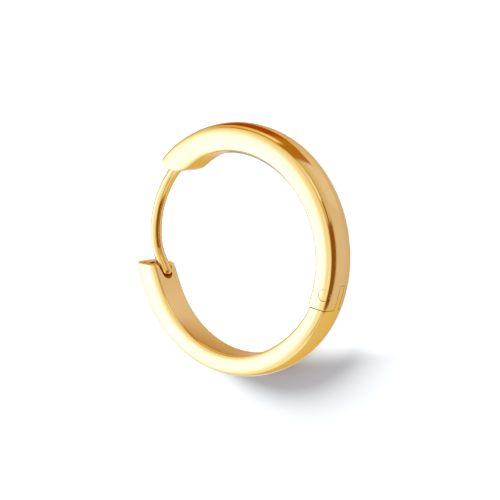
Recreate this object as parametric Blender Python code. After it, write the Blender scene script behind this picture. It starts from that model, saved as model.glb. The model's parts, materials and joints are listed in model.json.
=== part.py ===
"""A plain polished hoop earring with a hinged gate, lying on its side.

The front arc carries a soldered ear post. The gate arc swings on a pin that runs
across the band, and a notch in its free end takes the tip of the post. Metres,
+Z up. The origin is under the centre of the hoop, on the surface it lies on, and
the hoop's axis is vertical. Angles run anticlockwise from +X, seen from above.
"""
from dataclasses import dataclass
from math import cos, pi, radians, sin, tan

import bmesh
import bpy
from mathutils import Matrix, Vector

MM = 0.001

# The hoop
CROWN_RADIUS = 10.0 * MM       # centre of the hoop to the crown of its outer face
BAND_WIDTH = 2.6 * MM          # across the band, along the hoop's axis
MIDDLE = BAND_WIDTH / 2        # height of the band's middle plane
FRONT_WALL = 1.8 * MM          # front arc at the hinge, crown to inner face
GATE_WALL = 1.75 * MM          # gate arc at its middle, crown to inner face

# The band's section
DOME_EDGE_SLOPE = radians(20)  # the outer face has turned this far where its rounding starts
OUTER_ROUND = 0.35 * MM
INNER_ROUND = 0.20 * MM
SIDE_CROWN = 0.05 * MM         # the sides fall away by this much towards their edges
SIDE_EDGE_SLOPE = radians(12)
SIDE_LAND = 0.30 * MM          # flat along the middle of each side
SEAM_ROUND = 0.12 * MM         # rounding of the edges round each arc's end at the hinge
END_ROUND = 0.20 * MM          # and round its free end

# Where the arcs start and end, measured at the crown
SEAM_ANGLE = radians(-23.6)
FRONT_END_ANGLE = radians(137.0)
GATE_END_ANGLE = radians(-170.9)
# How far the inner edge of an end is turned from its outer edge
SEAM_LEAN = radians(-2.4)
FRONT_END_LEAN = radians(-4.5)
GATE_END_LEAN = radians(3.1)
LEAN_RUN = 0.12                # share of an arc over which its lean fades out
FRONT_END_BULGE = 0.30 * MM    # how far the middle of the front arc's free end stands out
BULGE_RUN = 0.08               # share of an arc over which its bulge fades out
SEAM_GAP = 0.10 * MM

# Wall thickness along each arc: share of the sweep from the hinge, share of the arc's wall
FRONT_WALLS = (
    (0.00, 0.95),
    (0.025, 0.995),
    (0.06, 1.015),
    (0.10, 1.015),
    (0.24, 1.07),
    (0.43, 1.14),
    (0.61, 1.20),
    (0.77, 1.235),
    (0.85, 1.26),
    (0.91, 1.30),
    (0.95, 1.31),
    (0.98, 1.24),
    (1.00, 1.13),
)
GATE_WALLS = (
    (0.00, 0.895),
    (0.053, 0.905),
    (0.108, 0.935),
    (0.19, 0.985),
    (0.346, 1.00),
    (0.517, 1.02),
    (0.687, 1.085),
    (0.823, 1.17),
    (0.892, 1.215),
    (0.96, 1.21),
    (1.00, 1.11),
)

# The hinge
PIN_ANGLE = radians(-16.7)
PIN_DEPTH = 0.58 * MM          # crown of the outer face to the pin's centre line
PIN_RADIUS = 0.45 * MM
PIN_PLAY = 0.05 * MM           # all round the pin
KNUCKLE_RADIUS = 0.96 * MM
KNUCKLE_WIDTH = 0.50 * MM
KNUCKLE_PLAY = 0.05 * MM       # beside the knuckle and round its end
KNUCKLE_DROP = 0.13 * MM       # the knuckle's middle lies this far below the band's
MOUTH_ANGLE = radians(40)      # the knuckle's round end has left the band by here

# The ear post, a round wire in the middle plane of the band
POST_RADIUS = 0.46 * MM
POST_CLIMB = 1.15 * MM         # crown of the band to the wire's centre line where it is soldered in
POST_ROOT = 0.12               # share of the post's sweep that is sunk in the front arc
POST_BEND_ANGLE = radians(-174.5)
POST_BEND_DEPTH = 1.55 * MM    # crown of the band to the wire's centre line at its bend
POST_DROP_POWER = 4            # the wire keeps near the band's curve, then drops towards its bend
POST_TIP_ANGLE = radians(-160.2)
POST_TIP_DEPTH = 2.09 * MM
POST_TIP_ROUND = 0.22 * MM

# The notch in the gate's free end
NOTCH_PLAY = 0.115 * MM        # each side of the post where the notch is narrowest
NOTCH_FLARE = radians(18)      # each wall of the notch opens by this towards the free end
NOTCH_END_ANGLE = radians(-158.3)
NOTCH_FLOOR = 1.20 * MM        # metal left between the notch and the crown

# Fineness of the faceted surfaces
ARC_STEP = radians(4)
DOME_STEPS = 3
OUTER_ROUND_STEPS = 4
SIDE_STEPS = 2
INNER_ROUND_STEPS = 3
END_ROUND_STEPS = 2
PIN_SIDES = 24
KNUCKLE_STEPS = 16
NOTCH_STEPS = 10
POST_SIDES_RESOLUTION = 4
POST_TIP_STEPS = 3
SMOOTH_ANGLE = radians(30)
OVERSHOOT = 1.0 * MM           # how far a cutter runs past what it cuts
HINGE_REACH = 4.0 * MM         # how far a cutter at the hinge covers the band

GOLD = (1.0, 0.73, 0.32, 1.0)
GOLD_ROUGHNESS = 0.12


@dataclass
class Arc:
    """One curved length of band, from the hinge to its free end."""
    start: float
    end: float
    start_lean: float
    end_lean: float
    wall: float
    walls: tuple
    end_bulge: float = 0.0

    def angle(self, along):
        return self.start + (self.end - self.start) * along

    def lean(self, along):
        return (self.start_lean * fade(along / LEAN_RUN)
                + self.end_lean * fade((1 - along) / LEAN_RUN))

    def bulge(self, along):
        towards_end = 1 if self.end > self.start else -1
        return towards_end * self.end_bulge * fade((1 - along) / BULGE_RUN)

    def wall_at(self, along):
        return self.wall * smooth_row(self.walls, along)

    def share(self, length):
        """A length along the crown as a share of the sweep."""
        return length / (CROWN_RADIUS * abs(self.end - self.start))


def fade(x):
    """1 up to x = 0, 0 from x = 1 on, and smooth between."""
    x = min(max(x, 0.0), 1.0)
    return 1 - x * x * (3 - 2 * x)


def smooth_row(rows, x):
    """Value at x on a smooth curve through the rows, level past the first and last."""
    x = min(max(x, rows[0][0]), rows[-1][0])
    slopes = [(rows[min(i + 1, len(rows) - 1)][1] - rows[max(i - 1, 0)][1])
              / (rows[min(i + 1, len(rows) - 1)][0] - rows[max(i - 1, 0)][0])
              for i in range(len(rows))]
    for (x0, y0), (x1, y1), m0, m1 in zip(rows, rows[1:], slopes, slopes[1:]):
        if x <= x1:
            step = x1 - x0
            t = (x - x0) / step
            return (y0 * (1 + 2 * t) * (1 - t) ** 2 + m0 * step * t * (1 - t) ** 2
                    + y1 * t * t * (3 - 2 * t) + m1 * step * t * t * (t - 1))
    return rows[-1][1]


def polar(radius, angle, height=0.0):
    return Vector((radius * cos(angle), radius * sin(angle), height))


def band_profile(wall, inset):
    """Outline of the band's section, all drawn in by inset.

    Each point is (depth below the crown, height above the middle plane).
    """
    half = MIDDLE
    edge_height = half - SIDE_CROWN - OUTER_ROUND * cos(SIDE_EDGE_SLOPE)
    dome_radius = OUTER_ROUND + edge_height / sin(DOME_EDGE_SLOPE)
    upper = []
    for i in range(DOME_STEPS + 1):
        turn = DOME_EDGE_SLOPE * i / DOME_STEPS
        upper.append((dome_radius - (dome_radius - inset) * cos(turn),
                      (dome_radius - inset) * sin(turn)))
    round_depth = dome_radius - (dome_radius - OUTER_ROUND) * cos(DOME_EDGE_SLOPE)
    side_start = pi / 2 - SIDE_EDGE_SLOPE
    for i in range(1, OUTER_ROUND_STEPS + 1):
        turn = DOME_EDGE_SLOPE + (side_start - DOME_EDGE_SLOPE) * i / OUTER_ROUND_STEPS
        upper.append((round_depth - (OUTER_ROUND - inset) * cos(turn),
                      edge_height + (OUTER_ROUND - inset) * sin(turn)))
    outer_depth = round_depth - OUTER_ROUND * sin(SIDE_EDGE_SLOPE)
    inner_depth = wall - INNER_ROUND + INNER_ROUND * sin(SIDE_EDGE_SLOPE)
    side_middle = (outer_depth + inner_depth) / 2
    run = (inner_depth - outer_depth - SIDE_LAND) / 2
    falls = [1 - i / SIDE_STEPS for i in range(1, SIDE_STEPS + 1)]
    for side, shares in ((-1, falls), (1, falls[::-1])):
        for share in shares:
            upper.append((side_middle + side * (SIDE_LAND / 2 + run * share),
                          half - inset - SIDE_CROWN * share ** 2))
    corner_height = half - SIDE_CROWN - INNER_ROUND * cos(SIDE_EDGE_SLOPE)
    for i in range(INNER_ROUND_STEPS + 1):
        turn = SIDE_EDGE_SLOPE + (pi / 2 - SIDE_EDGE_SLOPE) * i / INNER_ROUND_STEPS
        upper.append((wall - INNER_ROUND + (INNER_ROUND - inset) * sin(turn),
                      corner_height + (INNER_ROUND - inset) * cos(turn)))
    lower = [(depth, -height) for depth, height in reversed(upper[1:])]
    return upper + [(wall - inset, 0.0)] + lower


def band_ring(arc, along, inset=0.0):
    """The section's outline, placed at a share of the arc's sweep."""
    wall = arc.wall_at(along)
    angle = arc.angle(along)
    outer = polar(CROWN_RADIUS, angle)
    inner = polar(CROWN_RADIUS - wall, angle + arc.lean(along))
    depth_way = (inner - outer).normalized()
    length = (inner - outer).length
    onwards = Vector((depth_way.y, -depth_way.x, 0))
    points = []
    for depth, height in band_profile(length, inset):
        share = depth / length
        bowed = arc.bulge(along) * (1 - (2 * share - 1) ** 2)
        points.append(outer + depth_way * depth + onwards * bowed
                      + Vector((0, 0, MIDDLE + height)))
    return points


def end_rings(arc, at, way, rounding):
    """Rings that round off the end at a share of the sweep, way being -1 or 1 outwards."""
    rings = []
    for i in range(END_ROUND_STEPS + 1):
        turn = pi / 2 * i / END_ROUND_STEPS
        advance = rounding * (1 - sin(turn))
        rings.append(band_ring(arc, at - way * arc.share(advance), rounding * (1 - cos(turn))))
    return rings


def arc_rings(arc, first, last):
    """Rings from first to last, both shares of the sweep, with both ends rounded."""
    start, end = first + arc.share(SEAM_ROUND), last - arc.share(END_ROUND)
    count = round(abs(arc.end - arc.start) * (end - start) / ARC_STEP)
    middle = [band_ring(arc, start + (end - start) * i / count) for i in range(1, count)]
    return (end_rings(arc, first, -1, SEAM_ROUND)[::-1] + middle
            + end_rings(arc, last, 1, END_ROUND))


def add_object(name, mesh, collection, origin=Vector()):
    """An object for a mesh made in world space, with its origin moved to where it turns."""
    mesh.transform(Matrix.Translation(-origin))
    item = bpy.data.objects.new(name, mesh)
    item.location = origin
    collection.objects.link(item)
    return item


def add_cutter(name, mesh, collection):
    cutter = add_object(name, mesh, collection)
    cutter.hide_render = True
    cutter.display_type = "WIRE"
    return cutter


def finish_mesh(name, bm):
    """Mesh data from a bmesh, closed and with its faces pointing out."""
    bmesh.ops.remove_doubles(bm, verts=bm.verts, dist=0.001 * MM)
    bmesh.ops.recalc_face_normals(bm, faces=bm.faces)
    mesh = bpy.data.meshes.new(name)
    bm.to_mesh(mesh)
    bm.free()
    return mesh


def loft(name, rings):
    """Closed solid through rings of equal length."""
    bm = bmesh.new()
    loops = [[bm.verts.new(point) for point in ring] for ring in rings]
    for here, beyond in zip(loops, loops[1:]):
        for i in range(len(here)):
            j = (i + 1) % len(here)
            bm.faces.new((here[i], here[j], beyond[j], beyond[i]))
    bm.faces.new(loops[0])
    bm.faces.new(loops[-1])
    return finish_mesh(name, bm)


def mesh_of_curve(name, curve, place, collection):
    """Plain mesh of a curve, its caps welded."""
    guide = bpy.data.objects.new(name, curve)
    guide.matrix_world = place
    collection.objects.link(guide)
    bpy.context.view_layer.update()
    evaluated = guide.evaluated_get(bpy.context.evaluated_depsgraph_get())
    bm = bmesh.new()
    bm.from_mesh(bpy.data.meshes.new_from_object(evaluated))
    bmesh.ops.transform(bm, matrix=place, verts=bm.verts)
    bpy.data.objects.remove(guide)
    return finish_mesh(name, bm)


def plate(name, outline, thickness, place, collection):
    """Flat solid with an outline in its own X and Y, centred on its own plane."""
    curve = bpy.data.curves.new(name, "CURVE")
    curve.dimensions = "2D"
    curve.fill_mode = "BOTH"
    curve.extrude = thickness / 2
    spline = curve.splines.new("POLY")
    spline.points.add(len(outline) - 1)
    for point, (x, y) in zip(spline.points, outline):
        point.co = (x, y, 0, 1)
    spline.use_cyclic_u = True
    return mesh_of_curve(name, curve, place, collection)


def rod(name, radius, bottom, top, centre):
    """Upright cylinder between two heights."""
    bm = bmesh.new()
    place = Matrix.Translation((centre.x, centre.y, (bottom + top) / 2))
    bmesh.ops.create_cone(bm, cap_ends=True, segments=PIN_SIDES, radius1=radius, radius2=radius,
                          depth=top - bottom, matrix=place)
    return finish_mesh(name, bm)


def sweep(radius, first, last, steps):
    """Points of a circle's arc, from one angle to another."""
    turns = [first + (last - first) * i / steps for i in range(steps + 1)]
    return [(radius * cos(turn), radius * sin(turn)) for turn in turns]


def boolean(item, operation, other):
    modifier = item.modifiers.new(f"{operation} {other.name}", "BOOLEAN")
    modifier.operation = operation
    modifier.solver = "EXACT"
    modifier.object = other


def shade(item):
    item.data.shade_smooth()
    item.data.set_sharp_from_angle(angle=SMOOTH_ANGLE)


def gold(item, name):
    material = bpy.data.materials.new(name)
    material.use_nodes = True
    shader = material.node_tree.nodes["Principled BSDF"]
    shader.inputs["Base Color"].default_value = GOLD
    shader.inputs["Metallic"].default_value = 1.0
    shader.inputs["Roughness"].default_value = GOLD_ROUGHNESS
    item.data.materials.append(material)


def collection_named(name):
    collection = bpy.data.collections.new(name)
    bpy.context.scene.collection.children.link(collection)
    return collection


def hinge_place(front):
    """Matrix at the pin: X outwards along the seam, Y square to the seam, towards the front arc."""
    outer = polar(CROWN_RADIUS, front.start)
    inner = polar(CROWN_RADIUS - front.wall_at(0), front.start + front.start_lean)
    outwards = (outer - inner).normalized()
    upwards = Vector((-outwards.y, outwards.x, 0))
    pin = polar(CROWN_RADIUS - PIN_DEPTH, PIN_ANGLE, MIDDLE)
    place = Matrix((outwards, upwards, Vector((0, 0, 1)))).transposed().to_4x4()
    place.translation = pin
    seam_depth = (pin - outer).dot(upwards)
    return place, pin, seam_depth


def post_path():
    """Centre line of the ear post, from inside the front arc to its tip in the notch."""
    root_angle = FRONT_END_ANGLE - POST_ROOT * (2 * pi + POST_BEND_ANGLE - FRONT_END_ANGLE)
    bend_angle = POST_BEND_ANGLE + 2 * pi
    count = round((bend_angle - root_angle) / ARC_STEP)
    points = []
    for i in range(count + 1):
        share = i / count
        angle = root_angle + (bend_angle - root_angle) * share
        depth = POST_CLIMB + (POST_BEND_DEPTH - POST_CLIMB) * share ** POST_DROP_POWER
        points.append(polar(CROWN_RADIUS - depth, angle, MIDDLE))
    tip = polar(CROWN_RADIUS - POST_TIP_DEPTH, POST_TIP_ANGLE, MIDDLE)
    shoulder = tip + (points[-1] - tip).normalized() * POST_TIP_ROUND
    return points, shoulder, tip


def post_mesh(guides):
    """The wire, with a rounded tip."""
    points, shoulder, tip = post_path()
    knots = [(point, 1.0) for point in points]
    for i in range(POST_TIP_STEPS):
        turn = pi / 2 * i / POST_TIP_STEPS
        knots.append((shoulder.lerp(tip, sin(turn)), cos(turn)))
    curve = bpy.data.curves.new("post wire", "CURVE")
    curve.dimensions = "3D"
    curve.bevel_depth = POST_RADIUS
    curve.bevel_resolution = POST_SIDES_RESOLUTION
    curve.use_fill_caps = True
    spline = curve.splines.new("POLY")
    spline.points.add(len(knots) - 1)
    for point, (place, size) in zip(spline.points, knots):
        point.co = (*place, 1)
        point.radius = size
    return mesh_of_curve("ear post", curve, Matrix(), guides)


def pin_hole(name, pin, guides):
    return add_cutter(name, rod(name, PIN_RADIUS + PIN_PLAY, -OVERSHOOT, BAND_WIDTH + OVERSHOOT, pin),
                      guides)


def make_front_arc(front, parts, guides):
    """Upper arc of the band, slotted for the knuckle, with the ear post soldered in."""
    place, pin, seam_depth = hinge_place(front)
    place = place @ Matrix.Translation((0, 0, -KNUCKLE_DROP))
    item = add_object("front_arc", loft("front_arc", arc_rings(front, 0, 1)), parts)
    post = add_cutter("post guide", post_mesh(guides), guides)
    boolean(item, "UNION", post)
    reach = KNUCKLE_RADIUS + KNUCKLE_PLAY
    below = -seam_depth - OVERSHOOT
    outline = ([(-HINGE_REACH, below), (-HINGE_REACH, 0)]
               + sweep(reach, pi, MOUTH_ANGLE, KNUCKLE_STEPS)
               + [(HINGE_REACH, reach * sin(MOUTH_ANGLE)), (HINGE_REACH, below)])
    slot = plate("slot", outline, KNUCKLE_WIDTH + 2 * KNUCKLE_PLAY, place, guides)
    boolean(item, "DIFFERENCE", add_cutter("slot cutter", slot, guides))
    boolean(item, "DIFFERENCE", pin_hole("front pin hole", pin, guides))
    return item


def notch_mesh(guides):
    """Cutter for the notch: round at its inner end, wider at its mouth, open to the inside."""
    half_width = POST_RADIUS + NOTCH_PLAY
    inner_radius = CROWN_RADIUS - GATE_WALL
    middle_angle = NOTCH_END_ANGLE - half_width / inner_radius
    floor = CROWN_RADIUS - NOTCH_FLOOR
    towards_end = Vector((sin(middle_angle), -cos(middle_angle), 0))
    outwards = polar(1, middle_angle)
    across = outwards.cross(towards_end)
    thickness = GATE_WALL + OVERSHOOT
    place = Matrix((towards_end, across, outwards)).transposed().to_4x4()
    place.translation = polar(floor - thickness / 2, middle_angle, MIDDLE)
    length = CROWN_RADIUS * (middle_angle - GATE_END_ANGLE) + OVERSHOOT
    mouth = half_width / cos(NOTCH_FLARE) + length * tan(NOTCH_FLARE)
    outline = (sweep(half_width, 3 * pi / 2 - NOTCH_FLARE, pi / 2 + NOTCH_FLARE, NOTCH_STEPS)
               + [(length, mouth), (length, -mouth)])
    return plate("notch", outline, thickness, place, guides)


def make_gate_arc(front, gate, parts, guides):
    """Lower arc of the band: its knuckle runs up past the seam, its free end is notched."""
    place, pin, seam_depth = hinge_place(front)
    first = -gate.share(seam_depth + KNUCKLE_RADIUS + OVERSHOOT)
    item = add_object("gate_arc", loft("gate_arc", arc_rings(gate, first, 1)), parts, pin)
    outline = ([(-HINGE_REACH, 0)] + sweep(KNUCKLE_RADIUS, pi, MOUTH_ANGLE, KNUCKLE_STEPS)
               + [(HINGE_REACH, KNUCKLE_RADIUS * sin(MOUTH_ANGLE)), (HINGE_REACH, HINGE_REACH),
                  (-HINGE_REACH, HINGE_REACH)])
    end = plate("knuckle end", outline, BAND_WIDTH + 2 * OVERSHOOT, place, guides)
    boolean(item, "DIFFERENCE", add_cutter("knuckle end cutter", end, guides))
    shoulder = -seam_depth - SEAM_GAP
    outline = [(-HINGE_REACH, shoulder), (HINGE_REACH, shoulder),
               (HINGE_REACH, HINGE_REACH), (-HINGE_REACH, HINGE_REACH)]
    thickness = MIDDLE + KNUCKLE_DROP + OVERSHOOT
    for side, name in ((-1, "lower ear"), (1, "upper ear")):
        offset = Matrix.Translation((0, 0, side * (KNUCKLE_WIDTH + thickness) / 2 - KNUCKLE_DROP))
        ear = plate(name, outline, thickness, place @ offset, guides)
        boolean(item, "DIFFERENCE", add_cutter(f"{name} cutter", ear, guides))
    boolean(item, "DIFFERENCE", pin_hole("gate pin hole", pin, guides))
    boolean(item, "DIFFERENCE", add_cutter("notch cutter", notch_mesh(guides), guides))
    return item


def make_hinge_pin(front, parts, guides):
    """The pin, its ends finished flush with the band's sides."""
    _, pin, _ = hinge_place(front)
    blank = rod("hinge_pin", PIN_RADIUS, -OVERSHOOT, BAND_WIDTH + OVERSHOOT, pin)
    item = add_object("hinge_pin", blank, parts, pin)
    band = add_cutter("band guide", loft("band guide", arc_rings(front, 0, 1)), guides)
    boolean(item, "INTERSECT", band)
    return item


def make_hoop():
    for item in list(bpy.data.objects):
        bpy.data.objects.remove(item)
    parts = collection_named("hoop_earring")
    guides = collection_named("cutters")
    front = Arc(SEAM_ANGLE, FRONT_END_ANGLE, SEAM_LEAN, FRONT_END_LEAN, FRONT_WALL, FRONT_WALLS,
                FRONT_END_BULGE)
    gate = Arc(SEAM_ANGLE, GATE_END_ANGLE, SEAM_LEAN, GATE_END_LEAN, GATE_WALL, GATE_WALLS)
    for item in (make_front_arc(front, parts, guides), make_gate_arc(front, gate, parts, guides),
                 make_hinge_pin(front, parts, guides)):
        shade(item)
        gold(item, f"polished gold {item.name}")


make_hoop()
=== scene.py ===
"""A polished gold hoop earring with a hinged gate, lying on its side on a pale table.

Each piece is built finely in place of the faceted solid of the same shape. Metres, +Z up,
the hoop's axis vertical and its centre over the origin. Angles run anticlockwise from +X.
"""

import json
from dataclasses import dataclass
from math import atan2, cos, pi, radians, sin, tan

import bmesh
import bpy
from mathutils import Matrix, Vector


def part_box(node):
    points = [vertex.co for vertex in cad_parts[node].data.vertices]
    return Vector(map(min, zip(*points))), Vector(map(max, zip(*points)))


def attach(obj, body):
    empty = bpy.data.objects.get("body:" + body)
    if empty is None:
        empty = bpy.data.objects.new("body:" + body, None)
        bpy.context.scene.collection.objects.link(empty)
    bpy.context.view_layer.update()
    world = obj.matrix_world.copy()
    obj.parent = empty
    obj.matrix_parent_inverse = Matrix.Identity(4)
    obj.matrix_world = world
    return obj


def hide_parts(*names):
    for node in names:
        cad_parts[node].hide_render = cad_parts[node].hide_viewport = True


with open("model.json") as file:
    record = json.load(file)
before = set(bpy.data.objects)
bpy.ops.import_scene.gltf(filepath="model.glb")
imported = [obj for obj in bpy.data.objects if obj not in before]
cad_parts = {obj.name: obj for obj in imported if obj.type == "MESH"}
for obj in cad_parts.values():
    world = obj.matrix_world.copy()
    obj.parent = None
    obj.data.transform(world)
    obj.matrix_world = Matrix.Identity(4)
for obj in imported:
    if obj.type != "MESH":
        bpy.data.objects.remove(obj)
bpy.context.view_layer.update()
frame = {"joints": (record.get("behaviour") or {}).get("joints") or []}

MM = 0.001
TO_DEGREES = 180 / pi

# The hoop
CROWN_RADIUS = 10.0 * MM       # centre of the hoop to the crown of its outer face
BAND_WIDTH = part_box("front_arc")[1].z
MIDDLE = BAND_WIDTH / 2        # height of the band's middle plane
FRONT_WALL = 1.8 * MM          # front arc at the hinge, crown to inner face
GATE_WALL = 1.75 * MM          # gate arc at its middle, crown to inner face

# The band's section
DOME_EDGE_SLOPE = radians(20)  # the outer face has turned this far where its rounding starts
OUTER_ROUND = 0.35 * MM
INNER_ROUND = 0.20 * MM
SIDE_CROWN = 0.05 * MM         # the sides fall away by this much towards their edges
SIDE_EDGE_SLOPE = radians(12)
SIDE_LAND = 0.30 * MM          # flat along the middle of each side
SEAM_ROUND = 0.03 * MM         # rounding of the edges round each arc's end at the hinge
END_ROUND = 0.20 * MM          # and round its free end

# Centre of the outer edge's rounding, above the middle plane and below the crown
OUTER_ROUND_HEIGHT = MIDDLE - SIDE_CROWN - OUTER_ROUND * cos(SIDE_EDGE_SLOPE)
DOME_RADIUS = OUTER_ROUND + OUTER_ROUND_HEIGHT / sin(DOME_EDGE_SLOPE)
OUTER_ROUND_DEPTH = DOME_RADIUS - (DOME_RADIUS - OUTER_ROUND) * cos(DOME_EDGE_SLOPE)

# Where the arcs start and end, measured at the crown
SEAM_ANGLE = radians(-23.6)
FRONT_END_ANGLE = radians(137.0)
GATE_END_ANGLE = radians(-170.9)
SEAM_GAP = 0.02 * MM

# How far the inner edge of an end is turned from its outer edge
SEAM_LEAN = radians(-2.4)
FRONT_END_LEAN = radians(-4.5)
GATE_END_LEAN = radians(3.1)
LEAN_RUN = 0.12                # share of an arc over which its lean fades out
FRONT_END_BULGE = 0.30 * MM    # how far the middle of the front arc's free end stands out
BULGE_RUN = 0.08               # share of an arc over which its bulge fades out

# Wall thickness along each arc: share of the sweep from the hinge, share of the arc's wall
FRONT_WALLS = ((0.00, 0.95), (0.025, 0.995), (0.06, 1.015), (0.10, 1.015), (0.24, 1.07),
               (0.43, 1.14), (0.61, 1.20), (0.77, 1.235), (0.85, 1.26), (0.91, 1.30),
               (0.95, 1.31), (0.98, 1.24), (1.00, 1.13))
GATE_WALLS = ((0.00, 0.895), (0.053, 0.905), (0.108, 0.935), (0.19, 0.985), (0.346, 1.00),
              (0.517, 1.02), (0.687, 1.085), (0.823, 1.17), (0.892, 1.215), (0.96, 1.21),
              (1.00, 1.11))

# The hinge
PIN = Vector(frame["joints"][0]["pos_m"])
PIN_RADIUS = 0.45 * MM
PIN_PLAY = 0.05 * MM           # all round the pin in the gate's knuckle
PIN_EDGE_ROUND = 0.02 * MM
EAR_HOLE_PLAY = 0.026 * MM     # all round the pin in the front arc
EAR_HOLE_SHIFT = Vector((-0.018, -0.011, 0)) * MM
KNUCKLE_RADIUS = 0.96 * MM
KNUCKLE_WIDTH = 0.50 * MM
KNUCKLE_PLAY = 0.035 * MM      # beside the knuckle and round its end
KNUCKLE_DROP = 0.13 * MM       # the knuckle's middle lies this far below the band's
KNUCKLE_ROUND = 0.14 * MM
KNUCKLE_SINK = 0.004 * MM      # the knuckle lies this far under the gate's own surface
KNUCKLE_ROOT = 2.4 * MM        # how far below the pin the knuckle's root lies in the gate
MOUTH_ANGLE = radians(40)      # the knuckle's round end has left the band by here
HINGE_REACH = 4.0 * MM         # the knuckle's outline is drawn this far to both sides

# The ear post, a round wire in the middle plane of the band
POST_RADIUS = 0.46 * MM
POST_CLIMB = 1.15 * MM         # crown of the band to the wire's centre line where it starts
POST_ROOT = 0.12               # share of the post's sweep that is sunk in the front arc
POST_BEND_ANGLE = radians(-174.5)
POST_BEND_DEPTH = 1.55 * MM    # crown of the band to the wire's centre line at its bend
POST_DROP_POWER = 4            # the wire keeps near the band's curve, then drops to its bend
POST_TIP_ANGLE = radians(-160.2)
POST_TIP_DEPTH = 2.09 * MM
POST_TIP_ROUND = 0.30 * MM

# The notch in the gate's free end
NOTCH_PLAY = 0.115 * MM        # between the wire and the notch's sides
NOTCH_FLARE = radians(18)      # each side opens by this much towards the end
NOTCH_END_ANGLE = radians(-158.3)
NOTCH_FLOOR = 1.20 * MM        # crown of the band to the notch's floor

# Fineness
RING_STEP = radians(1.0)
CROWDING = 0.9                 # how strongly the rings gather towards both ends of an arc
DOME_STEPS = 12
OUTER_ROUND_STEPS = 12
SIDE_STEPS = 8
INNER_ROUND_STEPS = 8
EDGE_STEPS = 3
PIN_SIDES = 96
KNUCKLE_STEPS = 48
NOTCH_STEPS = 32
POST_SIDES = 48
POST_RINGS = 220
POST_KNOT_STEP = radians(4)
CURVE_ORDER = 4
SMOOTH_ANGLE = radians(32)     # sharper edges than this stay sharp
WELD = 0.0002 * MM
OVERSHOOT = 1.0 * MM           # cutters stand out of the metal by this much

# The gold's colours, and the shade painted into its crevices
GOLD_WARM = (1.0, 0.745, 0.285)
GOLD_PALE = (1.0, 0.775, 0.315)
GOLD_GRAZING = (0.97, 0.81, 0.48)
# Painted shade: the browner colour that stands in for the shade down in the crevices
CREVICE_PAINTED_SHADE = (0.62, 0.32, 0.08)
TONE_SIZE = 5.0 * MM
CREVICE_SIZE = 0.6 * MM
CREVICE_DEEP = 0.25            # openness at which a crevice has its full painted shade
CREVICE_OPEN = 0.75            # and from which there is none of it
CREVICE_SAMPLES = 8

# The gold's polish
GLOSS_ROUGHNESS = 0.07
HAZE_ROUGHNESS = 0.12
HAZE_SIZE = 0.5 * MM
HAZE_SHARE = 0.6               # of the uneven gloss; the polishing lines make up the rest
WAVE_SIZE = 1.3 * MM
WAVE_HEIGHT = 0.006 * MM
WAVE_DETAIL = 1.0
LINE_SIZE = 0.09 * MM
LINE_HEIGHT = 0.0002 * MM
LINE_STRETCH = 18              # the polishing lines are this many times longer than wide
FINE_DETAIL = 2.0              # of the polishing lines and the haze
BUMP_DISTANCE = 1.0            # heights are given in metres
NOISE_LOW = 0.3                # most noise lies between these
NOISE_HIGH = 0.7

# The duller polish of the band's inner face
INNER_DULLNESS = 0.20
FACING_IN = -0.95              # cosine between a face's normal and the way outwards
FACING_ASIDE = -0.70           # and from here on the face is no longer the inner one
POST_MIDDLE = Vector((-8.5, 1.7, 1.3)) * MM
DULL_FROM = 4.6 * MM           # from the post's middle: the duller polish starts here
DULL_FULL = DULL_FROM * 1.15

# The table
TABLE_HALF = 0.5
TABLE_COLOUR = (0.61, 0.65, 0.67)
TABLE_ROUGHNESS = 0.9

# The camera that took the photo, in the hoop's frame
CAMERA_PLACE = Vector((144.08, 29.82, 184.25)) * MM
CAMERA_RIGHT = Vector((0.787498, 0.0000536, -0.616318))
CAMERA_UP = Vector((-0.078473, 0.991870, -0.100182))
CAMERA_BACK = Vector((0.611301, 0.127257, 0.781099))
CAMERA_LENS = 216.0
CAMERA_SENSOR = 36.0
CAMERA_NEAR = 10.0 * MM

# The key light, from the upper left of the photo
KEY_TURN = radians(148)
KEY_HEIGHT = radians(28)
KEY_SOFTNESS = radians(30)
KEY_STRENGTH = 6.6

# The fill light, from behind the camera, that keeps the table white but for the lower right
FILL_ASIDE = 1.6 * MM
FILL_RAISED = 30.3 * MM
FILL_DISTANCE = 2000.0 * MM
FILL_REACH = 39.3 * MM         # radius of the circle that it lights
FILL_SIZE = 1.0 * MM
FILL_BLEND = 0.05
FILL_STRENGTH = 257.0

# The studio round the hoop
STUDIO_LOW = (0.71, 0.60, 0.64)
STUDIO_HIGH = (0.83, 0.75, 0.60)
STUDIO_TOP = (0.93, 0.88, 0.85)
HORIZON = 0                    # degrees up, where the high colour takes over from the low one
TOP_START = 60                 # and the top's colour from the high one
STUDIO_SOFTNESS = 10

# Places of a Mix node's colour sockets, whose names its other sockets share
MIX_COLOUR_A = 6
MIX_COLOUR_B = 7
MIX_COLOUR_RESULT = 2

# Inputs of the tree that makes a length of band, all of them numbers
BAND_SIZES = ("Crown Radius", "Middle", "Start Angle", "Sweep Angle", "Start Lean", "End Lean",
              "Wall", "Side Start", "Side End", "Run Before Seam", "End Bulge", "Length",
              "Start Round", "End Round", "Inset")


@dataclass
class Arc:
    """One curved length of band, from the hinge to its free end."""
    name: str
    start: float
    end: float
    start_lean: float
    end_lean: float
    wall: float
    walls: tuple
    end_bulge: float = 0.0


FRONT = Arc("front", SEAM_ANGLE, FRONT_END_ANGLE, SEAM_LEAN, FRONT_END_LEAN, FRONT_WALL,
            FRONT_WALLS, FRONT_END_BULGE)
GATE = Arc("gate", SEAM_ANGLE, GATE_END_ANGLE, SEAM_LEAN, GATE_END_LEAN, GATE_WALL, GATE_WALLS)


@dataclass
class Panel:
    """A soft-edged patch of the studio that the gold mirrors; its angles are in degrees."""
    first: float
    last: float
    low: float
    high: float
    soft_sides: float
    soft_ends: float
    colour: tuple


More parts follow.
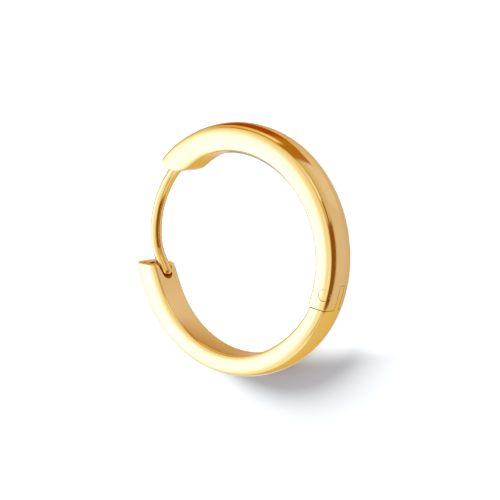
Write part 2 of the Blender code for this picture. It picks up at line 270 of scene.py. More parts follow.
PANELS = {
    "far ground": Panel(-180, 180, -100, -66, 10, 20, (0.65, 0.57, 0.72)),
    "pale ground": Panel(36, 130, -66, -32, 6, 10, (0.78, 0.68, 0.78)),
    "duller ground": Panel(98, 160, -66, -44, 60, 14, (0.68, 0.60, 0.62)),
    "level": Panel(-180, 180, -24, 12, 10, 20, (0.66, 0.57, 0.48)),
    "tan band": Panel(38, 74, -17, 7, 6, 8, (0.58, 0.46, 0.28)),
    "near wall": Panel(-145, -70, -12, 84, 14, 12, (0.97, 0.97, 1.05)),
    "top's dim side": Panel(-10, 150, 62, 79, 20, 8, (0.79, 0.68, 0.53)),
    "window": Panel(175, 217, 23, 58, 34, 22, (1.40, 1.75, 2.95)),
    "window's lower part": Panel(178, 222, -54, 30, 24, 16, (0.94, 1.10, 1.85)),
    "shade beside the wall": Panel(-104, -77, 46, 57, 8, 5, (0.66, 0.52, 0.34)),
    "shade below it": Panel(-78, -48, 36, 49, 8, 6, (0.60, 0.46, 0.28)),
    "shade over the card": Panel(-30, 62, 46, 62, 14, 6, (0.60, 0.44, 0.22)),
    "brown card": Panel(-47, 22, -21, 48, 9, 6, (0.26, 0.09, 0.01)),
    "grey beside the card": Panel(22, 40, -17, 45, 5, 12, (0.62, 0.48, 0.33)),
    "card's thin end": Panel(18, 38, -10, 15, 5, 5, (0.28, 0.12, 0.02)),
    "white beyond it": Panel(40, 60, 14, 42, 6, 10, (1.05, 1.05, 1.00)),
    "dark card": Panel(74, 94, -46, 30, 4, 6, (0.43, 0.18, 0.02)),
    "yellow strip": Panel(95, 121, -27, 24, 6, 8, (0.86, 0.66, 0.27)),
    "orange strip": Panel(121, 141, -14, 36, 8, 12, (0.75, 0.52, 0.16)),
    "dark line over the strips": Panel(93, 145, 22, 45, 8, 5, (0.48, 0.31, 0.05)),
    "bright end of the strip": Panel(93, 106, -22, 2, 5, 6, (1.10, 0.90, 0.50)),
    "amber edge": Panel(92, 112, -47.5, -27, 4, 3, (0.50, 0.19, 0.02)),
    "copper edge": Panel(107, 153, -47.5, -27, 8, 3, (0.37, 0.07, 0.005)),
    "golden ground": Panel(-128, -46, -62, -12, 12, 14, (0.76, 0.60, 0.31)),
}


class Value:
    """An output of a node, with arithmetic that adds the nodes it needs."""

    def __init__(self, graph, socket):
        self.graph = graph
        self.socket = socket

    def out(self, name):
        """Another output of the same node."""
        return Value(self.graph, self.socket.node.outputs[name])

    def __add__(self, other):
        return number_math(self.graph, "ADD", self, other)

    __radd__ = __add__

    def __sub__(self, other):
        return number_math(self.graph, "SUBTRACT", self, other)

    def __rsub__(self, other):
        return number_math(self.graph, "SUBTRACT", other, self)

    def __mul__(self, other):
        return number_math(self.graph, "MULTIPLY", self, other)

    __rmul__ = __mul__

    def __truediv__(self, other):
        return number_math(self.graph, "DIVIDE", self, other)

    def __rtruediv__(self, other):
        return number_math(self.graph, "DIVIDE", other, self)

    def __pow__(self, other):
        return number_math(self.graph, "POWER", self, other)

    def __rpow__(self, other):
        return number_math(self.graph, "POWER", other, self)


class Graph:
    """A node tree that nodes are added to one call at a time."""

    def __init__(self, tree):
        self.tree = tree

    def add(self, kind, settings=None, sockets=None):
        """A new node: its settings are made first, then its sockets get values or links."""
        node = self.tree.nodes.new(kind)
        for name, value in (settings or {}).items():
            if name == "points":
                self._set_points(node.mapping, value)
            elif name == "captures":
                for label, sort in value:
                    node.capture_items.new(sort, label)
            else:
                setattr(node, name, value)
        self.fill(node, sockets or {})
        return Value(self, node.outputs[0]) if node.outputs else node

    def fill(self, node, sockets):
        """Values or links for a node's sockets."""
        for name, value in sockets.items():
            if isinstance(value, Value):
                self.tree.links.new(value.socket, node.inputs[name])
            else:
                node.inputs[name].default_value = value

    @staticmethod
    def _set_points(mapping, points):
        """Points of a number curve, smooth through all of them."""
        mapping.use_clip = False
        curve = mapping.curves[0]
        while len(curve.points) < len(points):
            curve.points.new(0.5, 0.5)
        for point, place in zip(curve.points, points):
            point.location = place
            point.handle_type = "AUTO"
        mapping.update()


def number_math(graph, operation, first, second=0.0):
    """Result of a Math node; one that takes a single number leaves the second alone."""
    return graph.add("ShaderNodeMath", {"operation": operation}, {0: first, 1: second})


def vector_math(graph, operation, first, second=None, scale=None):
    """Result of a Vector Math node with the inputs that its operation takes."""
    sockets = {0: first}
    if second is not None:
        sockets[1] = second
    if scale is not None:
        sockets["Scale"] = scale
    return graph.add("ShaderNodeVectorMath", {"operation": operation}, sockets)


def vector(graph, x, y, z):
    """Vector put together from three numbers."""
    return graph.add("ShaderNodeCombineXYZ", None, {0: x, 1: y, 2: z})


def eased(graph, value, start, end, before, after):
    """Number that goes smoothly from before to after as a value goes from start to end."""
    return graph.add("ShaderNodeMapRange", {"interpolation_type": "SMOOTHSTEP"}, {
        "Value": value, "From Min": start, "From Max": end, "To Min": before, "To Max": after})


def within(graph, value, low, high, softness):
    """1 between low and high, 0 outside them, with edges as soft as the softness."""
    half = (high - low) / 2
    off_middle = number_math(graph, "ABSOLUTE", value - (low + high) / 2)
    return eased(graph, off_middle, half - softness / 2, half + softness / 2, 1.0, 0.0)


def mixed(graph, factor, below, above):
    """Colour between two others."""
    sockets = {0: factor}
    for place, colour in ((MIX_COLOUR_A, below), (MIX_COLOUR_B, above)):
        sockets[place] = colour if isinstance(colour, Value) else (*colour, 1.0)
    return graph.add("ShaderNodeMix", {"data_type": "RGBA"}, sockets).out(MIX_COLOUR_RESULT)


def polar(radius, angle, height=0.0):
    """Point at a distance and an angle from the hoop's axis."""
    return Vector((radius * cos(angle), radius * sin(angle), height))


def sweep_points(radius, first, last, steps):
    """Points of a circle's arc, from one angle to another."""
    turns = [first + (last - first) * i / steps for i in range(steps + 1)]
    return [(radius * cos(turn), radius * sin(turn)) for turn in turns]


def link(name, data):
    """Object in the scene that shows a mesh, curve, light or camera."""
    item = bpy.data.objects.new(name, data)
    bpy.context.scene.collection.objects.link(item)
    return item


def plain_mesh(item, name):
    """Mesh of an object as evaluated, welded, with its faces pointing out; the object goes."""
    bpy.context.view_layer.update()
    evaluated = item.evaluated_get(bpy.context.evaluated_depsgraph_get())
    mesh = bpy.data.meshes.new_from_object(evaluated)
    mesh.name = name
    mesh.transform(item.matrix_world)
    bpy.data.objects.remove(item)
    bm = bmesh.new()
    bm.from_mesh(mesh)
    bmesh.ops.remove_doubles(bm, verts=bm.verts, dist=WELD)
    bmesh.ops.recalc_face_normals(bm, faces=bm.faces)
    bm.to_mesh(mesh)
    bm.free()
    return mesh


def curve_through(name, points, kind="POLY", cyclic=False):
    """Curve object through points."""
    curve = bpy.data.curves.new(name, "CURVE")
    curve.dimensions = "3D"
    spline = curve.splines.new(kind)
    spline.points.add(len(points) - 1)
    for knot, (x, y, z) in zip(spline.points, points):
        knot.co = (x, y, z, 1)
    spline.use_cyclic_u = cyclic
    if kind == "NURBS":
        spline.order_u = CURVE_ORDER
        spline.use_endpoint_u = True
    return link(name, curve)


def side_depths(wall):
    """Depths below the crown at which the band's flat side starts and ends."""
    return (OUTER_ROUND_DEPTH - OUTER_ROUND * sin(SIDE_EDGE_SLOPE),
            wall - INNER_ROUND + INNER_ROUND * sin(SIDE_EDGE_SLOPE))


def section_outline(wall):
    """Outline of the band's section: depth below the crown, height above the middle plane."""
    upper = []
    for i in range(DOME_STEPS + 1):
        turn = DOME_EDGE_SLOPE * i / DOME_STEPS
        upper.append((DOME_RADIUS * (1 - cos(turn)), DOME_RADIUS * sin(turn)))
    side_start = pi / 2 - SIDE_EDGE_SLOPE
    for i in range(1, OUTER_ROUND_STEPS + 1):
        turn = DOME_EDGE_SLOPE + (side_start - DOME_EDGE_SLOPE) * i / OUTER_ROUND_STEPS
        upper.append((OUTER_ROUND_DEPTH - OUTER_ROUND * cos(turn),
                      OUTER_ROUND_HEIGHT + OUTER_ROUND * sin(turn)))
    outer_depth, inner_depth = side_depths(wall)
    side_middle = (outer_depth + inner_depth) / 2
    run = (inner_depth - outer_depth - SIDE_LAND) / 2
    falls = [1 - i / SIDE_STEPS for i in range(1, SIDE_STEPS + 1)]
    for side, shares in ((-1, falls), (1, falls[::-1])):
        for share in shares:
            upper.append((side_middle + side * (SIDE_LAND / 2 + run * share),
                          MIDDLE - SIDE_CROWN * share ** 2))
    corner_height = MIDDLE - SIDE_CROWN - INNER_ROUND * cos(SIDE_EDGE_SLOPE)
    for i in range(INNER_ROUND_STEPS + 1):
        turn = SIDE_EDGE_SLOPE + (pi / 2 - SIDE_EDGE_SLOPE) * i / INNER_ROUND_STEPS
        upper.append((wall - INNER_ROUND + INNER_ROUND * sin(turn),
                      corner_height + INNER_ROUND * cos(turn)))
    lower = [(depth, -height) for depth, height in reversed(upper[1:])]
    return upper + [(wall, 0.0)] + lower


def new_tree(name, inputs):
    """Geometry tree with named inputs: name, socket type."""
    tree = bpy.data.node_groups.new(name, "GeometryNodeTree")
    for label, sort in inputs:
        tree.interface.new_socket(label, in_out="INPUT", socket_type=sort)
    tree.interface.new_socket("Geometry", in_out="OUTPUT", socket_type="NodeSocketGeometry")
    graph = Graph(tree)
    return graph, graph.add("NodeGroupInput")


def close_tree(graph, geometry, material):
    """Ends a tree: no instances left, and every face in the given material."""
    whole = graph.add("GeometryNodeRealizeInstances", None, {"Geometry": geometry})
    clothed = graph.add("GeometryNodeSetMaterial", None,
                        {"Geometry": whole, "Material": material})
    graph.add("NodeGroupOutput", None, {"Geometry": clothed})


def run_tree(name, tree, values):
    """Plain mesh made by a tree, its inputs set by name."""
    item = link(name, bpy.data.meshes.new(name))
    modifier = item.modifiers.new("shape", "NODES")
    modifier.node_group = tree
    for socket in tree.interface.items_tree:
        if socket.in_out == "INPUT":
            modifier[socket.identifier] = values[socket.name]
    return plain_mesh(item, name)


def fading(graph, x, run):
    """1 at x = 0, falling smoothly to 0 at x = run."""
    return eased(graph, x, 0.0, run, 1.0, 0.0)


def rounded_off(graph, distance, radius):
    """How far a rounded edge of a given radius is drawn in at a distance from the end."""
    reach = graph.add("ShaderNodeMath", {"operation": "SUBTRACT", "use_clamp": True},
                      {0: 1.0, 1: distance / radius})
    return radius * (1.0 - (1.0 - reach * reach) ** 0.5)


def on_circle(graph, radius, angle):
    """Point on a circle round the hoop's axis."""
    across = number_math(graph, "COSINE", angle)
    along = number_math(graph, "SINE", angle)
    return vector(graph, radius * across, radius * along, 0.0)


def section_along_arc(graph, given):
    """The section drawn along the arc, its own points, and the share of the arc covered."""
    path = graph.add("GeometryNodeCurveArc", {"mode": "RADIUS"}, {
        "Resolution": given.out("Rings"), "Radius": given.out("Crown Radius"),
        "Start Angle": given.out("Start Angle"), "Sweep Angle": given.out("Sweep Angle")})
    covered = graph.add("GeometryNodeSplineParameter").out("Factor")
    path = graph.add("GeometryNodeCaptureAttribute", {"captures": [("covered", "FLOAT")]},
                     {"Geometry": path, "covered": covered})
    section = graph.add("GeometryNodeObjectInfo", None, {"Object": given.out("Section")})
    section = graph.add("GeometryNodeCaptureAttribute",
                        {"captures": [("point", "VECTOR"), ("tangent", "VECTOR")]},
                        {"Geometry": section.out("Geometry"),
                         "point": graph.add("GeometryNodeInputPosition"),
                         "tangent": graph.add("GeometryNodeInputTangent")})
    band = graph.add("GeometryNodeCurveToMesh", None,
                     {"Curve": path, "Profile Curve": section, "Fill Caps": True})
    return band, section, path.out("covered")


def drawn_in(graph, given, section, swept):
    """Depth and height of the section's points, drawn in where the arc's ends are rounded."""
    point = graph.add("ShaderNodeSeparateXYZ", None, {0: section.out("point")})
    tangent = graph.add("ShaderNodeSeparateXYZ", None, {0: section.out("tangent")})
    length = given.out("Length")
    inset = (given.out("Inset")
             + rounded_off(graph, swept * length, given.out("Start Round"))
             + rounded_off(graph, (1.0 - swept) * length, given.out("End Round")))
    return point.out("X") + tangent.out("Y") * inset, point.out("Y") - tangent.out("X") * inset


def wall_faces(graph, given, walls, swept, along):
    """Points on the crown and on the inner face at each place along the arc."""
    angle = given.out("Start Angle") + given.out("Sweep Angle") * swept
    lean = (given.out("Start Lean") * fading(graph, along, LEAN_RUN)
            + given.out("End Lean") * fading(graph, 1.0 - along, LEAN_RUN))
    wall = given.out("Wall") * graph.add("ShaderNodeFloatCurve", {"points": walls},
                                         {"Value": along})
    return (on_circle(graph, given.out("Crown Radius"), angle),
            on_circle(graph, given.out("Crown Radius") - wall, angle + lean))


def placed_on_wall(graph, given, faces, depth, height, along):
    """Place of each point: as deep in the wall as its depth says, bulged, and lifted."""
    crown, inner = faces
    across = vector_math(graph, "SUBTRACT", inner, crown)
    length = vector_math(graph, "LENGTH", across).out("Value")
    inner_share = graph.add("ShaderNodeMapRange", None, {
        "Value": depth, "From Min": given.out("Side Start"), "From Max": given.out("Side End")})
    stretched = depth + (length - given.out("Wall")) * inner_share
    share = stretched / length
    depth_way = vector_math(graph, "NORMALIZE", across)
    inwards = vector_math(graph, "SCALE", depth_way, scale=stretched)
    # Four times share by what is left of it is 1 half-way through the wall
    bulge = (given.out("End Bulge") * fading(graph, 1.0 - along, BULGE_RUN)
             * share * (1.0 - share) * 4.0)
    onwards = vector_math(graph, "CROSS_PRODUCT", depth_way, vector(graph, 0.0, 0.0, 1.0))
    onwards = vector_math(graph, "SCALE", onwards, scale=bulge)
    flat = vector_math(graph, "ADD", vector_math(graph, "ADD", crown, inwards), onwards)
    return vector_math(graph, "ADD", flat,
                       vector(graph, 0.0, 0.0, given.out("Middle") + height))


def band_tree(arc):
    """Tree that bends the section into an arc of band whose wall and ends vary along it."""
    graph, given = new_tree(f"{arc.name} band", (
        ("Section", "NodeSocketObject"), ("Rings", "NodeSocketInt"),
        *((size, "NodeSocketFloat") for size in BAND_SIZES),
        ("Material", "NodeSocketMaterial")))
    band, section, even = section_along_arc(graph, given)
    swept = even + (even * even * (3.0 - even * 2.0) - even) * CROWDING
    before = given.out("Run Before Seam")
    along = swept * (1.0 + before) - before
    depth, height = drawn_in(graph, given, section, swept)
    faces = wall_faces(graph, given, arc.walls, swept, along)
    place = placed_on_wall(graph, given, faces, depth, height, along)
    bent = graph.add("GeometryNodeSetPosition", None, {"Geometry": band, "Position": place})
    close_tree(graph, bent, given.out("Material"))
    return graph.tree


def band_mesh(name, arc, gold, ahead=0.0, inset=0.0):
    """Mesh of an arc of band that starts a length ahead of the seam, drawn in by inset."""
    outline = [(depth, height, 0.0) for depth, height in section_outline(arc.wall)]
    section = curve_through("section", outline, cyclic=True)
    side_start, side_end = side_depths(arc.wall)
    swing = arc.end - arc.start
    before = ahead / (CROWN_RADIUS * abs(swing))
    whole = swing * (1 + before)
    mesh = run_tree(name, band_tree(arc), {
        "Section": section, "Rings": round(abs(whole) / RING_STEP) + 1,
        "Crown Radius": CROWN_RADIUS, "Middle": MIDDLE,
        "Start Angle": arc.start - swing * before, "Sweep Angle": whole,
        "Start Lean": arc.start_lean, "End Lean": arc.end_lean,
        "Wall": arc.wall, "Side Start": side_start, "Side End": side_end,
        "Run Before Seam": before, "Length": CROWN_RADIUS * abs(whole),
        "End Bulge": arc.end_bulge if swing > 0 else -arc.end_bulge,
        "Start Round": SEAM_ROUND, "End Round": END_ROUND, "Inset": inset, "Material": gold})
    bpy.data.objects.remove(section)
    return mesh


def wire_tree():
    """Tree that draws a round wire along a path and rounds off its far end."""
    graph, given = new_tree("wire along a path", (
        ("Path", "NodeSocketObject"), ("Wire Radius", "NodeSocketFloat"),
        ("Tip Round", "NodeSocketFloat"), ("Rings", "NodeSocketInt"),
        ("Sides", "NodeSocketInt"), ("Material", "NodeSocketMaterial")))
    path = graph.add("GeometryNodeObjectInfo", None, {"Object": given.out("Path")})
    path = graph.add("GeometryNodeResampleCurve", None,
                     {"Curve": path.out("Geometry"), "Count": given.out("Rings")})
    covered = graph.add("GeometryNodeSplineParameter").out("Length")
    whole = graph.add("GeometryNodeSplineLength").out("Length")
    to_tip = number_math(graph, "MINIMUM", (whole - covered) / given.out("Tip Round"), 1.0)
    size = (1.0 - (1.0 - to_tip) ** 2.0) ** 0.5
    path = graph.add("GeometryNodeSetCurveRadius", None, {"Curve": path, "Radius": size})
    ring = graph.add("GeometryNodeCurvePrimitiveCircle", {"mode": "RADIUS"},
                     {"Resolution": given.out("Sides"), "Radius": given.out("Wire Radius")})
    wire = graph.add("GeometryNodeCurveToMesh", None, {
        "Curve": path, "Profile Curve": ring, "Fill Caps": True,
        "Scale": graph.add("GeometryNodeInputRadius")})
    close_tree(graph, wire, given.out("Material"))
    return graph.tree


def post_knots():
    """Knots of the ear post's centre line, from inside the front arc to its tip in the notch."""
    bend_angle = POST_BEND_ANGLE + 2 * pi
    root_angle = FRONT_END_ANGLE - POST_ROOT * (bend_angle - FRONT_END_ANGLE)
    count = round((bend_angle - root_angle) / POST_KNOT_STEP)
    knots = []
    for i in range(count + 1):
        share = i / count
        depth = POST_CLIMB + (POST_BEND_DEPTH - POST_CLIMB) * share ** POST_DROP_POWER
        angle = root_angle + (bend_angle - root_angle) * share
        knots.append(polar(CROWN_RADIUS - depth, angle, MIDDLE))
    bend = knots[-1]
    tip = polar(CROWN_RADIUS - POST_TIP_DEPTH, POST_TIP_ANGLE, MIDDLE)
    legs = round((tip - bend).length / (CROWN_RADIUS * POST_KNOT_STEP))
    return knots + [bend.lerp(tip, i / legs) for i in range(1, legs + 1)]


def post_mesh(gold):
    """The ear post's wire."""
    path = curve_through("post path", post_knots(), kind="NURBS")
    mesh = run_tree("ear post", wire_tree(), {
        "Path": path, "Wire Radius": POST_RADIUS, "Tip Round": POST_TIP_ROUND,
        "Rings": POST_RINGS, "Sides": POST_SIDES, "Material": gold})
    bpy.data.objects.remove(path)
    return mesh


def plate_mesh(name, outline, thickness, place):
    """Flat solid with an outline in its own X and Y, centred on its own plane."""
    bm = bmesh.new()
    low = [bm.verts.new((x, y, -thickness / 2)) for x, y in outline]
    bm.faces.new(low)
    grown = bmesh.ops.extrude_face_region(bm, geom=bm.faces[:])
    top = [part for part in grown["geom"] if isinstance(part, bmesh.types.BMVert)]
    bmesh.ops.translate(bm, verts=top, vec=(0, 0, thickness))
    bmesh.ops.transform(bm, matrix=place, verts=bm.verts)
    bmesh.ops.recalc_face_normals(bm, faces=bm.faces)
    mesh = bpy.data.meshes.new(name)
    bm.to_mesh(mesh)
    bm.free()
    return mesh


def rod_mesh(name, radius, centre=PIN):
    """Upright cylinder that stands out of both sides of the band."""
    bottom, top = -OVERSHOOT, BAND_WIDTH + OVERSHOOT
    place = Matrix.Translation((centre.x, centre.y, (bottom + top) / 2))
    bm = bmesh.new()
    bmesh.ops.create_cone(bm, cap_ends=True, segments=PIN_SIDES, radius1=radius, radius2=radius,
                          depth=top - bottom, matrix=place)
    mesh = bpy.data.meshes.new(name)
    bm.to_mesh(mesh)
    bm.free()
    return mesh


def shaped(name, mesh, cuts=(), edge_round=0.0):
    """Mesh with its sharp edges rounded, then joined with or cut by other meshes in turn."""
    item = link(name, mesh)
    if edge_round:
        bevel = item.modifiers.new("edges", "BEVEL")
        bevel.width = edge_round
        bevel.segments = EDGE_STEPS
        bevel.limit_method = "ANGLE"
        bevel.angle_limit = SMOOTH_ANGLE
    helpers = []
    for operation, other in cuts:
        helper = link("helper", other)
        modifier = item.modifiers.new(operation, "BOOLEAN")
        modifier.operation = operation
        modifier.solver = "EXACT"
        modifier.object = helper
        helpers.append(helper)
    result = plain_mesh(item, name)
    for helper in helpers:
        bpy.data.objects.remove(helper)
    return result


def hinge_place():
    """Matrix at the pin, and how far below the pin the seam lies.

    Its X runs outwards along the seam, and its Y square to the seam, into the front arc.
    """
    outer = polar(CROWN_RADIUS, SEAM_ANGLE)
    inner = polar(CROWN_RADIUS - FRONT_WALL, SEAM_ANGLE + SEAM_LEAN)
    outwards = (outer - inner).normalized()
    upwards = Vector((-outwards.y, outwards.x, 0))
    place = Matrix((outwards, upwards, Vector((0, 0, 1)))).transposed().to_4x4()
    place.translation = (PIN.x, PIN.y, MIDDLE - KNUCKLE_DROP)
    return place, (PIN - outer).dot(upwards)


def knuckle_outline(radius):
    """The knuckle's round end, closed a little below the pin."""
    mouth = radius * sin(MOUTH_ANGLE)
    rim = sweep_points(radius, pi, MOUTH_ANGLE, KNUCKLE_STEPS)
    return ([(-HINGE_REACH, -KNUCKLE_ROOT), (-HINGE_REACH, 0)] + rim
            + [(HINGE_REACH, mouth), (HINGE_REACH, -KNUCKLE_ROOT)])


def notch_plate():
    """Cutter for the notch: round at its inner end, open to the end and to the inside."""
    half_width = POST_RADIUS + NOTCH_PLAY
    middle_angle = NOTCH_END_ANGLE - half_width / (CROWN_RADIUS - GATE_WALL)
    towards_end = Vector((sin(middle_angle), -cos(middle_angle), 0))
    outwards = polar(1, middle_angle)
    thickness = GATE_WALL + OVERSHOOT
    place = Matrix((towards_end, outwards.cross(towards_end), outwards)).transposed().to_4x4()
    place.translation = polar(CROWN_RADIUS - NOTCH_FLOOR - thickness / 2, middle_angle, MIDDLE)
    length = CROWN_RADIUS * (middle_angle - GATE_END_ANGLE) + OVERSHOOT
    mouth = half_width / cos(NOTCH_FLARE) + length * tan(NOTCH_FLARE)
    round_end = sweep_points(half_width, 3 * pi / 2 - NOTCH_FLARE, pi / 2 + NOTCH_FLARE,
                             NOTCH_STEPS)
    return plate_mesh("notch", round_end + [(length, mouth), (length, -mouth)], thickness, place)


def make_front(gold):
    """Upper arc with the ear post soldered in, slotted for the knuckle, drilled for the pin."""
    place, _ = hinge_place()
    slot = plate_mesh("slot", knuckle_outline(KNUCKLE_RADIUS + KNUCKLE_PLAY),
                      KNUCKLE_WIDTH + 2 * KNUCKLE_PLAY, place)
    slot = shaped("slot", slot, edge_round=KNUCKLE_ROUND)
    hole = rod_mesh("hole", PIN_RADIUS + EAR_HOLE_PLAY, centre=PIN + EAR_HOLE_SHIFT)
    return shaped("front", band_mesh("front", FRONT, gold), cuts=(
        ("UNION", post_mesh(gold)), ("DIFFERENCE", slot), ("DIFFERENCE", hole)))


def make_gate(gold):
    """Lower arc: its knuckle runs up past the seam, and its free end is notched."""
    place, seam_depth = hinge_place()
    blank = plate_mesh("knuckle", knuckle_outline(KNUCKLE_RADIUS), KNUCKLE_WIDTH, place)
    blank = shaped("knuckle", blank, edge_round=KNUCKLE_ROUND)
    reach = seam_depth + KNUCKLE_RADIUS + OVERSHOOT
    stretch = band_mesh("stretch", GATE, gold, ahead=reach, inset=KNUCKLE_SINK)
    knuckle = shaped("knuckle", stretch, cuts=(("INTERSECT", blank),))
    hole = rod_mesh("hole", PIN_RADIUS + PIN_PLAY)
    return shaped("gate", band_mesh("gate", GATE, gold, ahead=-SEAM_GAP), cuts=(
        ("UNION", knuckle), ("DIFFERENCE", hole), ("DIFFERENCE", notch_plate())))


def make_pin(gold):
    """The pin, its ends finished flush with the band's sides."""
    blank = rod_mesh("pin", PIN_RADIUS)
    flush = shaped("pin", blank, cuts=(("INTERSECT", band_mesh("flush", FRONT, gold)),))
    return shaped("pin", flush, edge_round=PIN_EDGE_ROUND)


def noise(graph, place, size, detail=0.0):
    """Smooth noise from 0 to 1 with features of one size."""
    return graph.add("ShaderNodeTexNoise", None,
                     {"Vector": place, "Scale": 1 / size, "Detail": detail})


def spread(graph, value, low, high):
    """Noise spread over a range."""
    return graph.add("ShaderNodeMapRange", None, {
        "Value": value, "From Min": NOISE_LOW, "From Max": NOISE_HIGH,
        "To Min": low, "To Max": high})


def along_band(graph, place):
    """Place on the band: off the axis, up, and far shortened round the hoop."""
    parts = graph.add("ShaderNodeSeparateXYZ", None, {0: place})
    x, y = parts.out("X"), parts.out("Y")
    turn = number_math(graph, "ARCTAN2", y, x)
    return vector(graph, (x * x + y * y) ** 0.5, parts.out("Z"),
                  turn * (CROWN_RADIUS / LINE_STRETCH))


def inner_face(graph, place, normal):
    """1 on the band's inner face, 0 on its other faces and round the post."""
    level = vector_math(graph, "MULTIPLY", place, (1.0, 1.0, 0.0))
    outward = vector_math(graph, "NORMALIZE", level)
    turned_out = vector_math(graph, "DOT_PRODUCT", outward, normal).out("Value")
    from_post = vector_math(graph, "DISTANCE", place, POST_MIDDLE).out("Value")
    return (eased(graph, turned_out, FACING_IN, FACING_ASIDE, 1.0, 0.0)
            * eased(graph, from_post, DULL_FROM, DULL_FULL, 0.0, 1.0))


def gold_colour_with_painted_shade(graph, place):
    """Gold of a slightly uneven tone, with painted shade: browner in the crevices, where little
    of the studio reaches.
    """
    tone = spread(graph, noise(graph, place, TONE_SIZE), 0.0, 1.0)
    # Painted shade: the more closed in the ambient occlusion test finds a place, the browner its
    # colour
    openness = graph.add("ShaderNodeAmbientOcclusion", {"samples": CREVICE_SAMPLES},
                         {"Distance": CREVICE_SIZE}).out("AO")
    crevice_shade = eased(graph, openness, CREVICE_DEEP, CREVICE_OPEN, 1.0, 0.0)
    return mixed(graph, crevice_shade, mixed(graph, tone, GOLD_WARM, GOLD_PALE), CREVICE_PAINTED_SHADE)


def new_material(name):
    """Material, its graph and its surface shader."""
    material = bpy.data.materials.new(name)
    material.use_nodes = True
    shader = material.node_tree.nodes["Principled BSDF"]
    return material, Graph(material.node_tree), shader


def polished_gold(name):
    """Gold polished to a mirror, with faint waves, polishing lines and an uneven gloss."""
    material, graph, shader = new_material(name)
    surface = graph.add("ShaderNodeTexCoord")
    place = surface.out("Object")
    waves = noise(graph, place, WAVE_SIZE, WAVE_DETAIL)
    lines = noise(graph, along_band(graph, place), LINE_SIZE, FINE_DETAIL)
    haze = noise(graph, place, HAZE_SIZE, FINE_DETAIL)
    gloss = haze * HAZE_SHARE + lines * (1 - HAZE_SHARE)
    dullness = inner_face(graph, place, surface.out("Normal")) * INNER_DULLNESS
    relief = waves * WAVE_HEIGHT + lines * LINE_HEIGHT
    graph.fill(shader, {
        # The base colour carries the shade painted into the crevices
        "Base Color": gold_colour_with_painted_shade(graph, place),
        "Metallic": 1.0,
        "Roughness": spread(graph, gloss, GLOSS_ROUGHNESS, HAZE_ROUGHNESS) + dullness,
        "Specular Tint": (*GOLD_GRAZING, 1.0),
        "Normal": graph.add("ShaderNodeBump", None,
                            {"Height": relief, "Distance": BUMP_DISTANCE}),
    })
    return material


def place_piece(name, mesh, body, node, material):
    """A finished piece: smooth, in its material, riding its body in place of the solid."""
    mesh.materials.clear()
    mesh.materials.append(material)
    mesh.shade_smooth()
    mesh.set_sharp_from_angle(angle=SMOOTH_ANGLE)
    mesh.name = name
    item = link(name, mesh)
    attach(item, body)
    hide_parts(node)


def make_table():
    """The plain pale table top that the hoop lies on; the gold doesn't mirror it."""
    bm = bmesh.new()
    bmesh.ops.create_grid(bm, x_segments=1, y_segments=1, size=TABLE_HALF)
    mesh = bpy.data.meshes.new("table_top")
    bm.to_mesh(mesh)
    bm.free()
    floor = link("table_top", mesh)
    material, graph, shader = new_material("pale table")
    graph.fill(shader, {"Base Color": (*TABLE_COLOUR, 1.0), "Roughness": TABLE_ROUGHNESS,
                        "Specular IOR Level": 0.0})
    mesh.materials.append(material)
    floor.visible_glossy = False


def facing_like_camera(place):
    """Transform of a thing at a place, turned as the camera is."""
    turn = Matrix((CAMERA_RIGHT, CAMERA_UP, CAMERA_BACK)).transposed().to_4x4()
    return Matrix.Translation(place) @ turn


def make_camera():
    """The camera at the photo's angle to the hoop."""
    data = bpy.data.cameras.new("photo_view")
    data.lens = CAMERA_LENS
    data.sensor_width = CAMERA_SENSOR
    data.clip_start = CAMERA_NEAR
    camera = link("photo_view", data)
    camera.matrix_world = facing_like_camera(CAMERA_PLACE)
    bpy.context.scene.camera = camera


def above(graph, height, level):
    """1 higher up than a level, in degrees, on every side of the zenith."""
    return within(graph, height, level, 180 - level, STUDIO_SOFTNESS)


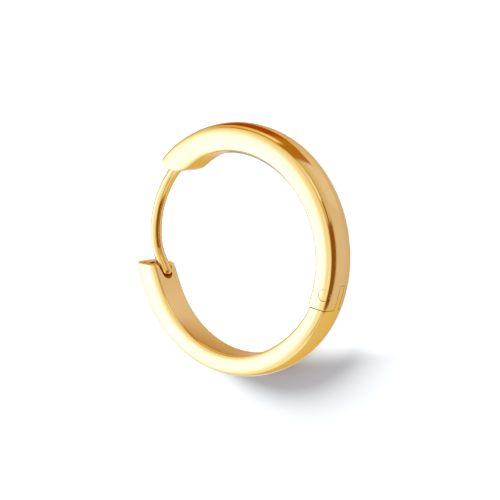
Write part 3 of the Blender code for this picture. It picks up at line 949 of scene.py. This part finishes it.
def studio_colour(graph):
    """Colour of the studio in each direction: the ground, the walls, and the panels in turn."""
    towards = graph.add("ShaderNodeSeparateXYZ", None,
                        {0: graph.add("ShaderNodeTexCoord").out("Generated")})
    x, y = towards.out("X"), towards.out("Y")
    height = number_math(graph, "ARCSINE", towards.out("Z")) * TO_DEGREES
    colour = mixed(graph, above(graph, height, HORIZON), STUDIO_LOW, STUDIO_HIGH)
    colour = mixed(graph, above(graph, height, TOP_START), colour, STUDIO_TOP)
    for panel in PANELS.values():
        middle = radians((panel.first + panel.last) / 2)
        half = (panel.last - panel.first) / 2
        forward = x * cos(middle) + y * sin(middle)
        aside = y * cos(middle) - x * sin(middle)
        turn = number_math(graph, "ARCTAN2", aside, forward) * TO_DEGREES
        inside = (within(graph, turn, -half, half, panel.soft_sides)
                  * within(graph, height, panel.low, panel.high, panel.soft_ends))
        colour = mixed(graph, inside, colour, panel.colour)
    return colour


def make_studio():
    """The studio round the hoop, which the gold mirrors."""
    scene = bpy.context.scene
    scene.view_settings.view_transform = "Standard"
    scene.world = bpy.data.worlds.new("studio")
    scene.world.use_nodes = True
    tree = scene.world.node_tree
    graph = Graph(tree)
    graph.fill(tree.nodes["Background"], {"Color": studio_colour(graph)})


def new_light(name, kind, strength):
    """Light that the gold doesn't mirror."""
    light = link(name, bpy.data.lights.new(name, kind))
    light.data.energy = strength
    light.visible_glossy = False
    return light


def make_lights():
    """A soft key light for the shadow at the lower right, and a fill light for the rest."""
    key = new_light("key light", "SUN", KEY_STRENGTH)
    key.data.angle = KEY_SOFTNESS
    key.rotation_euler = (0, pi / 2 - KEY_HEIGHT, KEY_TURN)
    fill = new_light("fill light", "SPOT", FILL_STRENGTH)
    fill.data.spot_size = 2 * atan2(FILL_REACH, FILL_DISTANCE)
    fill.data.spot_blend = FILL_BLEND
    fill.data.shadow_soft_size = FILL_SIZE
    fill.matrix_world = facing_like_camera(
        CAMERA_RIGHT * FILL_ASIDE + CAMERA_UP * FILL_RAISED + CAMERA_BACK * FILL_DISTANCE)


gold = polished_gold("polished_gold")
place_piece("front_arc_gold", make_front(gold), "front", "front_arc", gold)
place_piece("gate_arc_gold", make_gate(gold), "gate", "gate_arc", gold)
place_piece("hinge_pin_gold", make_pin(gold), "front", "hinge_pin", gold)
make_table()
make_camera()
make_studio()
make_lights()
